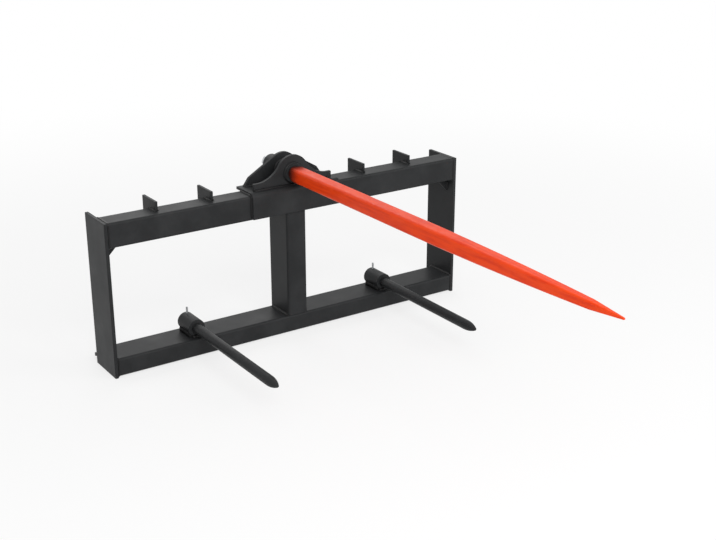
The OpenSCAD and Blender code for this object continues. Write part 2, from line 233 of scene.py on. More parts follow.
@dataclass(frozen=True)
class OrangeEnamel(Finish):
    """Gloss orange-red enamel, dipped over a hammered forging.

    The eye sees a saturated coat with lengthwise runs, shallow hammer marks under it, and a
    slightly deeper red where the coat is thick. Painted shade darkens it nearly to black where it
    leaves the sleeve, and thins out over the first few centimetres in front of the sleeve.
    """

    name: str = "orange_enamel"
    colour: str = "#EE460E"
    cloud: str = "#D62F08"
    cloud_at: Span = (0.42, 0.75)
    roughness: Span = (0.30, 0.44)
    ior: float = 1.27
    hammer_mm: float = 26.0
    hammer_depth_mm: float = 0.6
    run_mm: float = 9.0
    run_stretch: float = 12.5  # a run's length in widths
    # painted shade: a near-black colour laid over the spear where it leaves the sleeve
    painted_shade: str = "#1E1715"
    overspray_full: float = 0.92
    speck_mm: float = 4.0  # noise that breaks the painted shade's edge into specks
    edge_mm: float = 16.0  # how far the specks move the painted shade's edge
    shade_full_y_mm: float = -102.0  # painted shade is full up to here
    shade_gone_y_mm: float = -158.0  # and gone from here on

    def build(self) -> Any:
        """Builds the material.

        Returns:
            The finished material.
        """
        material, tree = new_material(self.name)
        place = add_node(tree, "ShaderNodeTexCoord").outputs["Object"]
        along = add_node(tree, "ShaderNodeMapping", {
            "Vector": place, "Scale": (1.0, 1.0 / self.run_stretch, 1.0)})
        runs = add_node(tree, "ShaderNodeTexNoise", {
            "Vector": along, "Scale": 1000.0 / self.run_mm, "Detail": 4.0, "Roughness": 0.6})
        marks = add_node(tree, "ShaderNodeTexNoise", {
            "Vector": place, "Scale": 1000.0 / self.hammer_mm, "Detail": 3.0,
            "Roughness": 0.55})
        # the painted shade near the sleeve is mixed over the coat's colour here
        colour = add_node(tree, "ShaderNodeMix", {
            MIX_SHARE: self._sprayed(tree, place), MIX_UNDER: self._clouded(tree, runs),
            MIX_OVER: linear_rgba(self.painted_shade)}, data_type="RGBA")
        bump = add_node(tree, "ShaderNodeBump", {
            "Strength": 0.5, "Distance": self.hammer_depth_mm * MM, "Height": marks})
        self._shade(tree, marks, {"Base Color": colour.outputs[MIXED], "IOR": self.ior,
                                  "Normal": bump})
        return material

    def _sprayed(self, tree: Any, place: Any) -> Any:
        """Works out how much painted shade lies at each point.

        The amount falls smoothly from full at the sleeve to none further out, and a fine noise
        moves that edge to and fro, so that the painted shade ends in specks.

        Args:
            tree: The material's node tree.
            place: The socket with the place on the piece.

        Returns:
            The node with the amount, 0 to 1.
        """
        shade_edge_noise = add_node(tree, "ShaderNodeTexNoise", {
            "Vector": place, "Scale": 1000.0 / self.speck_mm, "Detail": 2.0, "Roughness": 0.5})
        along = add_node(tree, "ShaderNodeSeparateXYZ", {"Vector": place}).outputs["Y"]
        moved = add_node(tree, "ShaderNodeMath", {
            0: shade_edge_noise, 1: self.edge_mm * MM, 2: along}, operation="MULTIPLY_ADD")
        middle_mm = self.edge_mm / 2.0
        return add_node(tree, "ShaderNodeMapRange", {
            "Value": moved, "From Min": (self.shade_gone_y_mm + middle_mm) * MM,
            "From Max": (self.shade_full_y_mm + middle_mm) * MM,
            "To Max": self.overspray_full}, interpolation_type="SMOOTHSTEP")


@dataclass(frozen=True)
class ZincPlate(Finish):
    """Bright zinc electroplate on turned steel.

    The eye sees a pale grey metal with cloudy passivation and soft, slightly broken glints.
    """

    name: str = "zinc_plate"
    colour: str = "#C9CBCC"
    cloud: str = "#A9ACAF"
    cloud_at: Span = (0.35, 0.7)
    roughness: Span = (0.28, 0.46)
    cloud_mm: float = 7.0

    def build(self) -> Any:
        """Builds the material.

        Returns:
            The finished material.
        """
        material, tree = new_material(self.name)
        place = add_node(tree, "ShaderNodeTexCoord").outputs["Object"]
        clouds = add_node(tree, "ShaderNodeTexNoise", {
            "Vector": place, "Scale": 1000.0 / self.cloud_mm, "Detail": 4.0, "Roughness": 0.6})
        self._shade(tree, clouds, {"Base Color": self._clouded(tree, clouds), "Metallic": 1.0})
        return material


@dataclass(frozen=True)
class Paints:
    """The finishes as built materials: one each, shared by all pieces."""

    black: Any
    # the weld enamel, whose dark colour is painted shade for the welded corners
    weld: Any
    orange: Any
    zinc: Any


def dress(names: Sequence[str], material: Any) -> None:
    """Gives CAD nodes one finish.

    Args:
        names: The nodes.
        material: Their material.
    """
    for name in names:
        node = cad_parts[name]
        node.data.materials.clear()
        node.data.materials.append(material)
        LOG.info("CAD node %s: %s", name, material.name)


# ---------------- places and surfaces

class Way(Enum):
    """A named direction: its axis, 0 to 2, and its sign along it."""

    LEFT = (0, -1)
    RIGHT = (0, 1)
    FRONT = (1, -1)
    BACK = (1, 1)

    @property
    def word(self) -> str:
        """Returns the direction's word in a piece's name."""
        return self.name.lower()

    @property
    def sign(self) -> int:
        """Returns -1 or 1."""
        return self.value[1]

    @property
    def out(self) -> Array:
        """Returns the direction as a unit vector."""
        return self.sign * np.eye(3)[self.value[0]]

    def end(self, box: Box) -> float:
        """Returns where a box ends in this direction."""
        return float(box[self.sign > 0][self.value[0]])


SIDES = (Way.LEFT, Way.RIGHT)
FACES = (Way.FRONT, Way.BACK)


def node_box(name: str) -> Box:
    """Returns a CAD node's lowest and highest corner as arrays."""
    low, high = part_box(name)
    return np.array(low), np.array(high)


def in_plane(x: float, flat: Array) -> Array:
    """Turns (y, z) rows into points or vectors with a given x."""
    return np.column_stack([np.full(len(flat), x), flat])


def put(name: str, data: Any) -> Any:
    """Puts a new object into the scene.

    Args:
        name: Its name.
        data: The mesh, lamp or camera that it holds.

    Returns:
        The object.
    """
    thing = bpy.data.objects.new(name, data)
    bpy.context.scene.collection.objects.link(thing)
    return thing


def closed_tube(name: str, rings: Array, material: Any) -> Any:
    """Makes a closed object from rings of points, with a cap of triangles at each end.

    Ring i and ring i + 1 are joined by quads, the last point of a ring joins its first, and each
    end ring joins one point at its own middle. If the signed volume, a sixth of the sum of
    p0 . (p1 x p2) over all triangles, is negative, every face is turned over.

    Args:
        name: The object's name.
        rings: Points as (rings, points in a ring, 3).
        material: The finish.

    Returns:
        The new object, on the frame's body.
    """
    count, around, _ = rings.shape
    points = np.concatenate([rings.reshape(-1, 3), rings[:1].mean(axis=1),
                             rings[-1:].mean(axis=1)])
    row = np.arange(count - 1)[:, None] * around
    here = np.arange(around)
    after = (here + 1) % around
    quads = np.stack([row + here, row + after, row + around + after, row + around + here],
                     axis=-1).reshape(-1, 4)
    base = (count - 1) * around
    start, end = np.full(around, count * around), np.full(around, count * around + 1)
    first = np.stack([start, after, here], axis=-1)
    last = np.stack([end, base + here, base + after], axis=-1)
    triangles = np.concatenate([quads[:, [0, 1, 2]], quads[:, [0, 2, 3]], first, last])
    corner = points[triangles]
    volume = np.einsum("ij,ij->i", corner[:, 0], np.cross(corner[:, 1], corner[:, 2])).sum()
    if volume < 0.0:
        quads, first, last = quads[:, ::-1], first[:, ::-1], last[:, ::-1]
    mesh = bpy.data.meshes.new(name)
    mesh.from_pydata(points.tolist(), [], quads.tolist() + first.tolist() + last.tolist())
    return finish_piece(name, mesh, material)


def finish_piece(name: str, mesh: Any, material: Any) -> Any:
    """Puts a mesh into the scene as a smooth shaded piece that rides on the frame.

    Args:
        name: The object's name.
        mesh: Its mesh, already in place.
        material: The finish.

    Returns:
        The new object.
    """
    mesh.polygons.foreach_set("use_smooth", np.ones(len(mesh.polygons), dtype=bool))
    mesh.materials.append(material)
    mesh.update()
    piece = put(name, mesh)
    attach(piece, "root")
    LOG.info("piece %s: %d faces, %s", name, len(mesh.polygons), material.name)
    return piece


def resample(points: Array, step: float) -> Array:
    """Spaces the points of a path evenly along its length.

    Args:
        points: The path as (n, columns); the first three columns are the place.
        step: Distance between points.

    Returns:
        The path with every column interpolated at equal lengths.
    """
    hops = np.linalg.norm(np.diff(points[:, :3], axis=0), axis=1)
    gone = np.concatenate([[0.0], np.cumsum(hops)])
    count = max(2, int(round(gone[-1] / step)) + 1)
    wanted = np.linspace(0.0, gone[-1], count)
    return np.stack([np.interp(wanted, gone, column) for column in points.T], axis=1)


def tube_outline(box: Box, radius: float, start_z: float) -> tuple[Array, Array]:
    """Runs once round a rounded tube's end, seen along X.

    It starts on the back side at a given height, goes down, forward, up, and back over the top.
    A point on a corner is centre + radius (cos a, sin a), with nine points to a corner.

    Args:
        box: Lowest and highest corner of the tube.
        radius: Corner radius.
        start_z: Height of the first point, which is also the last one.

    Returns:
        Points as (n, 2) of y and z, and their outward normals.
    """
    (_, front, floor), (_, back, top) = box
    quarter = np.linspace(0.0, math.pi / 2.0, 9)
    points, normals = [np.array([[back, start_z]])], [np.array([[1.0, 0.0]])]
    for y, z, begin in ((back, floor, 0.0), (front, floor, -math.pi / 2.0),
                        (front, top, math.pi), (back, top, math.pi / 2.0)):
        centre = np.array([y + (radius if y == front else -radius),
                           z + (radius if z == floor else -radius)])
        angle = begin - quarter
        normals.append(np.stack([np.cos(angle), np.sin(angle)], axis=1))
        points.append(centre + radius * normals[-1])
    return np.concatenate(points + points[:1]), np.concatenate(normals + normals[:1])


@dataclass(frozen=True)
class WeldBead:
    """One run of fillet weld: a bead with the ripples that the puddle leaves as it moves."""

    leg: float = 5.0 * MM
    pitch: float = 3.6 * MM
    step: float = 0.8 * MM
    ripple: float = 0.13  # depth between two ripples, in legs
    bow: float = 0.35  # how far a ripple's curve leans, in pitches
    sway: float = 0.02  # height of each sine of the wobble, in legs
    sway_mm: Span = (14.0, 70.0)  # shortest and longest of them
    fullness: float = 1.45
    root: float = 0.12  # how far the hidden edges go in behind the corner, in legs
    face_points: int = 8

    def run(self, name: str, path: Array, along_a: Array, along_b: Array, material: Any,
            seed: int) -> None:
        """Lays a bead into the corner between two faces.

        With a and b the directions in the two faces, away from the corner, a point of the bead's
        face at angle t from 0 to a quarter turn is corner + r (a cos t + b sin t), where
        r = size * (cos^n t + sin^n t)^(-1/n) and n is the fullness: 1 is a flat face and 2 a
        round one. The size is multiplied by a scallop |sin(pi (s / pitch - bow sin 2t))|^0.7,
        which gives curved ripples along the length s, by a slow wobble of three sines, and by a
        quarter circle at both ends. Two more points close the ring a little way inside the
        corner.

        Args:
            name: The piece's name.
            path: The corner line as (n, 3).
            along_a: Direction in the first face, times the leg: one vector or one a point.
            along_b: Direction in the second face, times the leg.
            material: The paint over it.
            seed: Which wobble it gets.
        """
        ones = np.ones((len(path), 1))
        both = resample(np.hstack([path, along_a * ones, along_b * ones]), self.step)
        corner, side_a, side_b = (both[:, None, i:i + 3] for i in (0, 3, 6))
        gone = np.linspace(0.0, 1.0, len(both))
        gone *= np.linalg.norm(np.diff(both[:, :3], axis=0), axis=1).sum()
        turn = np.linspace(0.0, math.pi / 2.0, self.face_points)[None, :]
        power = self.fullness
        round_off = (np.cos(turn) ** power + np.abs(np.sin(turn)) ** power) ** (-1.0 / power)
        phase = gone[:, None] / self.pitch - self.bow * np.sin(2.0 * turn)
        scallop = np.abs(np.sin(math.pi * phase)) ** 0.7
        rng = np.random.default_rng(seed)
        waves, offsets = rng.uniform(*self.sway_mm, 3) * MM, rng.uniform(0.0, math.tau, 3)
        sines = np.sin(math.tau * gone[:, None] / waves + offsets)
        wobble = self.sway * sines.sum(axis=1)[:, None]
        near_end = np.clip(np.minimum(gone, gone[-1] - gone) / self.leg, 0.0, 1.0)
        taper = np.sqrt(np.clip(1.0 - (1.0 - near_end) ** 2, 0.02, 1.0))[:, None]
        size = round_off * (1.0 - self.ripple + self.ripple * scallop + wobble) * taper
        face = corner + size[..., None] * (side_a * np.cos(turn)[..., None]
                                           + side_b * np.sin(turn)[..., None])
        inside = corner - self.root * (side_a + side_b)
        half_way = 0.5 * taper[..., None]
        rings = np.concatenate([face, inside + side_b * half_way, inside + side_a * half_way],
                               axis=1)
        closed_tube(name, rings, material)


@dataclass(frozen=True)
class SoftEdges:
    """Breaks the sharp edges of cut plates, as grinding and paint do."""

    radius: float = 1.0 * MM
    segments: int = 2
    crease_deg: float = 30.0
    flat_deg: float = 0.5
    join_grid: float = 1e-6

    def plate(self, name: str, material: Any, radius: float | None = None) -> None:
        """Makes a piece from a CAD node with its edges rounded, to stand for the node.

        Corners in the same cell of the grid are joined, neighbours within the flat angle become
        one face, and every edge sharper than the crease angle is rounded.

        Args:
            name: The CAD node.
            material: The finish.
            radius: Rounding, if it differs from the usual one.
        """
        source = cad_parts[name].data
        points = np.empty(len(source.vertices) * 3)
        source.vertices.foreach_get("co", points)
        points = points.reshape(-1, 3)
        source.calc_loop_triangles()
        corners = np.empty(len(source.loop_triangles) * 3, dtype=np.int64)
        source.loop_triangles.foreach_get("vertices", corners)
        grid = np.round(points / self.join_grid).astype(np.int64)
        _, first, joined = np.unique(grid, axis=0, return_index=True, return_inverse=True)
        triangles = joined.reshape(-1)[corners].reshape(-1, 3)
        whole = (triangles != np.roll(triangles, 1, axis=1)).all(axis=1)
        mesh = bpy.data.meshes.new(name + "_soft")
        mesh.from_pydata(points[first].tolist(), [], triangles[whole].tolist())
        solid = bmesh.new()
        solid.from_mesh(mesh)
        bmesh.ops.dissolve_limit(solid, angle_limit=math.radians(self.flat_deg),
                                 verts=solid.verts, edges=solid.edges)
        solid.to_mesh(mesh)
        solid.free()
        piece = finish_piece(name + "_soft", mesh, material)
        bevel = piece.modifiers.new("broken_edges", "BEVEL")
        bevel.width = radius or self.radius
        bevel.segments = self.segments
        bevel.limit_method = "ANGLE"
        bevel.angle_limit = math.radians(self.crease_deg)
        bevel.harden_normals = True
        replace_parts(piece, name)


# ---------------- sub-assemblies

@dataclass
class Weldment:
    """What the welded sub-assemblies share: finishes, edge rounding and the usual bead."""

    paints: Paints
    soft: SoftEdges = SoftEdges()
    bead: WeldBead = WeldBead()

    def weld(self, name: str, path: Array, along_a: Array, along_b: Array, seed: int) -> None:
        """Lays the usual bead in weld enamel; its arguments are those of WeldBead.run."""
        self.bead.run(name, path, along_a, along_b, self.paints.weld, seed)


@dataclass(frozen=True)
class RailEnd:
    """Where the bead round a rail's end runs, and where it is thin.

    It starts behind the rail, so far over the top edge of the plate there. Only some of the
    outline's points are kept, and each thin way is given in (y, z) with the leg there.
    """

    rail: str
    plate: str
    rise: float
    keep: slice
    thin: tuple[tuple[Span, float], ...]


@dataclass
class WeldedFrame(Weldment):
    """Two tube rails, the centre post, the end plates and the corner gussets.

    The end plates are flush with the rails in front, and with the top rail on top too. The
    bottom rail's bead leaves out the outline's first corner, which the latch shelf covers.
    """

    small: WeldBead = WeldBead(leg=4.0 * MM)
    rail_ends: tuple[RailEnd, ...] = (
        RailEnd("top_rail", "hook_lip", -16.0 * MM, slice(0, -3),
                (((-1.0, 0.0), 1.2 * MM), ((0.0, 1.0), 1.2 * MM))),
        RailEnd("bottom_rail", "latch_shelf", 5.0 * MM, slice(10, None),
                (((-1.0, 0.0), 1.2 * MM), ((0.0, -1.0), 3.2 * MM))))
    tube_radius: float = 7.0 * MM
    plate_radius: float = 1.4 * MM  # rounding of the end plates
    foot_rise: float = 6.0 * MM  # of the post's beads on the bottom rail
    gusset_clip: float = 10.0 * MM  # the gussets' clipped inner corner

    def build(self) -> None:
        """Dresses the tubes, softens the plates and lays the beads."""
        dress(("top_rail", "bottom_rail", "centre_post"), self.paints.black)
        for side in SIDES:
            self.soft.plate(f"end_plate_{side.word}", self.paints.black, self.plate_radius)
        for side in SIDES:
            self.soft.plate(f"corner_gusset_{side.word}", self.paints.black)
            self._gusset_beads(side)
        for side in SIDES:
            for rail_end in self.rail_ends:
                self._rail_end_bead(side, rail_end)
            self._post_beads(side)

    def _rail_end_bead(self, side: Way, end: RailEnd) -> None:
        """Runs a bead round a rail where it meets an end plate.

        The path is the tube's outline. With n the outline's normal and w a thin way, the bead's
        height is the usual leg plus, for each w, (thin leg - usual leg) * max(n . w, 0)^2, so
        that it thins down round each corner.

        Args:
            side: The plate's side.
            end: The rail and its thin ways.
        """
        box = node_box(end.rail)
        start_z = node_box(end.plate)[1][2] + end.rise
        flat, normal = (rows[end.keep] for rows in tube_outline(box, self.tube_radius, start_z))
        height = np.full(len(normal), self.bead.leg)
        for way, leg in end.thin:
            height += (leg - self.bead.leg) * np.maximum(normal @ way, 0.0) ** 2
        self.weld(f"{end.rail}_{side.word}_bead", in_plane(side.end(box), flat),
                  in_plane(0.0, normal) * height[:, None], -side.out * self.bead.leg,
                  seed=3 + side.sign)

    def _post_beads(self, side: Way) -> None:
        """Lays a bead down each side of the post at both rails.

        Args:
            side: The side of the post.
        """
        box = low, high = node_box("centre_post")
        x, front = side.end(box), low[1] + self.tube_radius
        leg = self.bead.leg
        for word, z, back, rise, seed in (
                ("foot", low[2], high[1], Z_AXIS * self.foot_rise, 11),
                ("head", high[2], node_box("top_rail")[1][1], -Z_AXIS * leg, 12)):
            path = np.array([[x, front, z], [x, back - self.tube_radius, z]])
            self.weld(f"post_{word}_{side.word}_bead", path, side.out * leg, rise, seed)

    def _gusset_beads(self, side: Way) -> None:
        """Lays small beads along a gusset's two legs, on both faces.

        Args:
            side: The gusset's side.
        """
        name = f"corner_gusset_{side.word}"
        box = low, high = node_box(name)
        wall_x = side.end(box)
        tip_x = low[0] + high[0] - wall_x
        for face in FACES:
            y = face.end(box)
            out = face.out * self.small.leg
            rail = np.array([[wall_x - side.sign * self.gusset_clip, y, high[2]],
                             [tip_x, y, high[2]]])
            wall = np.array([[wall_x, y, high[2] - self.gusset_clip], [wall_x, y, low[2]]])
            self.small.run(f"{name}_rail_{face.word}_bead", rail, out,
                           -Z_AXIS * self.small.leg, self.paints.weld, seed=21)
            self.small.run(f"{name}_wall_{face.word}_bead", wall, out,
                           -side.out * self.small.leg, self.paints.weld, seed=22)


@dataclass
class LoaderHook(Weldment):
    """The hook fins, the hook lip and the slotted latch shelf."""

    bead: WeldBead = WeldBead(leg=4.5 * MM)
    fins: int = 4
    lip_slope_deg: float = 45.0
    lip_thickness: float = 8.0 * MM
    shelf_slope_deg: float = 18.0
    shelf_thickness: float = 10.0 * MM
    rail_inset: float = 7.0 * MM  # a fin's bead ends where the rail's corner starts
    fin_start: float = 2.0 * MM  # way down the slope to the fins' beads on the lip
    lip_start: float = 6.0 * MM  # and to the lip's end beads
    shelf_start: float = 5.0 * MM  # and to the shelf's
    end_gap: float = 1.0 * MM  # what an end bead leaves free
    upper_drop: float = 1.0 * MM  # the upper lip bead, under the lip's edge
    upper_sink: float = 0.4 * MM  # and in from the rail's back

    def build(self) -> None:
        """Softens the plates and lays the beads."""
        for number in range(1, self.fins + 1):
            self.soft.plate(f"hook_fin_{number}", self.paints.black)
            self._fin_beads(f"hook_fin_{number}")
        self.soft.plate("hook_lip", self.paints.black)
        self.soft.plate("latch_shelf", self.paints.black)
        self._lip_beads()
        self._shelf_beads()

    def _slope(self, degrees: float) -> tuple[Array, Array]:
        """Returns the way down a slope behind the frame, and the slope's upward normal."""
        cos, sin = math.cos(math.radians(degrees)), math.sin(math.radians(degrees))
        return np.array([0.0, cos, -sin]), np.array([0.0, sin, cos])

    def _fin_beads(self, name: str) -> None:
        """Lays a bead on both sides of a fin, on the rail and on the lip.

        Args:
            name: The fin's node.
        """
        box = low, high = node_box(name)
        rail_high, lip_high = node_box("top_rail")[1], node_box("hook_lip")[1]
        leg = self.bead.leg
        down, normal = self._slope(self.lip_slope_deg)
        start = np.array([0.0, rail_high[1], lip_high[2]]) + self.fin_start * down
        lip = np.stack([start, start + down * ((high[1] - start[1]) / down[1])])
        rail = np.array([[0.0, low[1], rail_high[2]],
                         [0.0, rail_high[1] - self.rail_inset, rail_high[2]]])
        for side in SIDES:
            at, out = X_AXIS * side.end(box), side.out * leg
            self.weld(f"{name}_rail_{side.word}_bead", rail + at, out, Z_AXIS * leg, seed=31)
            self.weld(f"{name}_lip_{side.word}_bead", lip + at, out, normal * leg, seed=32)

    def _end_beads(self, word: str, box: Box, slope_deg: float, back_y: float,
                   span: Span, seed: int) -> None:
        """Lays a short bead down both ends of a sloping plate.

        Args:
            word: The plate's word in the beads' names.
            box: Its box.
            slope_deg: Its slope.
            back_y: Y of the rail's back, where the plate starts.
            span: Way down the slope to the bead's start and to its end.
            seed: Which wobble it gets.
        """
        down, normal = self._slope(slope_deg)
        for side in SIDES:
            top = np.array([side.end(box), back_y, box[1][2]])
            self.weld(f"{word}_end_{side.word}_bead", top + down * np.array(span)[:, None],
                      -side.out * self.bead.leg, normal * self.bead.leg, seed)

    def _lip_beads(self) -> None:
        """Lays the long beads above and below the lip, and short ones at its ends."""
        box = low, high = node_box("hook_lip")
        rail_back = node_box("top_rail")[1][1]
        leg = self.bead.leg
        down, _ = self._slope(self.lip_slope_deg)
        ends = np.array([[low[0], rail_back, high[2]], [high[0], rail_back, high[2]]])
        upper = ends - Z_AXIS * self.upper_drop - Y_AXIS * self.upper_sink
        over_rail = np.array([0.0, -0.42, 0.9])
        over_rail /= np.linalg.norm(over_rail)
        self.weld("lip_upper_bead", upper, over_rail * leg * 0.8, down * leg * 1.2, seed=33)
        lower = ends - Z_AXIS * self.lip_thickness / down[1]
        self.weld("lip_lower_bead", lower, -Z_AXIS * leg * 0.9, down * leg * 0.9, seed=34)
        reach = (high[1] - rail_back) / down[1]
        self._end_beads("lip", box, self.lip_slope_deg, rail_back,
                        (self.lip_start, reach - self.end_gap), seed=35)

    def _shelf_beads(self) -> None:
        """Lays the long beads above and below the shelf, and short ones at its ends."""
        box = low, high = node_box("latch_shelf")
        plate_back = node_box("end_plate_left")[1][1]
        leg = self.bead.leg
        down, _ = self._slope(self.shelf_slope_deg)
        ends = np.array([[low[0], 0.0, high[2]], [high[0], 0.0, high[2]]])
        self.weld("shelf_upper_bead", ends, Z_AXIS * leg, down * leg, seed=36)
        lower = ends - Z_AXIS * self.shelf_thickness / down[1]
        self.weld("shelf_lower_bead", lower, -Z_AXIS * leg, down * leg, seed=37)
        self._end_beads("shelf", box, self.shelf_slope_deg, 0.0,
                        (self.shelf_start, (plate_back - self.end_gap) / down[1]), seed=38)


@dataclass
class SpearBracket(Weldment):
    """The saddle over the top rail, the bell plate, the rear plate and the tapered sleeve."""

    rail_radius: float = 7.0 * MM
    front_and_top: tuple[int, int] = (18, 29)  # those points of a tube's outline
    saddle_leg: float = 4.5 * MM
    saddle_start: float = 3.0 * MM  # up from the saddle's lower edge
    foot_gap: float = 1.0 * MM  # what a foot's bead leaves free at each end
    ring_turns: Span = (-0.3, 0.72)  # just over one turn, so the end laps

    def build(self) -> None:
        """Softens the plates and lays the beads."""
        for name in ("spear_saddle", "bell_plate", "rear_plate", "spear_sleeve"):
            self.soft.plate(name, self.paints.black)
        for side in SIDES:
            self._saddle_edge_bead(side)
        for name in ("bell_plate", "rear_plate"):
            self._plate_beads(name)

    def _saddle_edge_bead(self, side: Way) -> None:
        """Runs a bead up the rail's front and over its top, along one side of the saddle.

        The path is part of the rail's outline: up the front from the saddle's lower edge, round
        the corner, and level to where the back corner starts.

        Args:
            side: The saddle's side.
        """
        box = node_box("spear_saddle")
        outline = tube_outline(node_box("top_rail"), self.rail_radius, 0.0)
        flat, normal = (rows[slice(*self.front_and_top)] for rows in outline)
        flat[0, 1] = box[0][2] + self.saddle_start
        self.weld(f"saddle_edge_{side.word}_bead", in_plane(side.end(box), flat),
                  side.out * self.saddle_leg, in_plane(0.0, normal) * self.saddle_leg, seed=41)

    def _plate_beads(self, name: str) -> None:
        """Lays a bead along a bracket plate's foot and one round the sleeve, on both faces.

        The path round the sleeve is a circle of its radius about the spear's axis.

        Args:
            name: The plate's node.
        """
        box = low, high = node_box(name)
        sleeve_low, sleeve_high = node_box("spear_sleeve")
        leg = self.bead.leg
        foot = np.array([[low[0] + self.foot_gap, 0.0, low[2]],
                         [high[0] - self.foot_gap, 0.0, low[2]]])
        angle = math.tau * np.linspace(*self.ring_turns, 181)
        ray = np.column_stack([np.cos(angle), np.zeros_like(angle), np.sin(angle)])
        ring = (ray * (sleeve_high[0] - sleeve_low[0]) / 2.0
                + Z_AXIS * (sleeve_high[2] + sleeve_low[2]) / 2.0)
        for word, path, rise, seed in (("foot", foot, Z_AXIS, 42), ("sleeve", ring, ray, 43)):
            for face in FACES:
                self.weld(f"{name}_{word}_{face.word}_bead", path + Y_AXIS * face.end(box),
                          face.out * leg, rise * leg, seed)


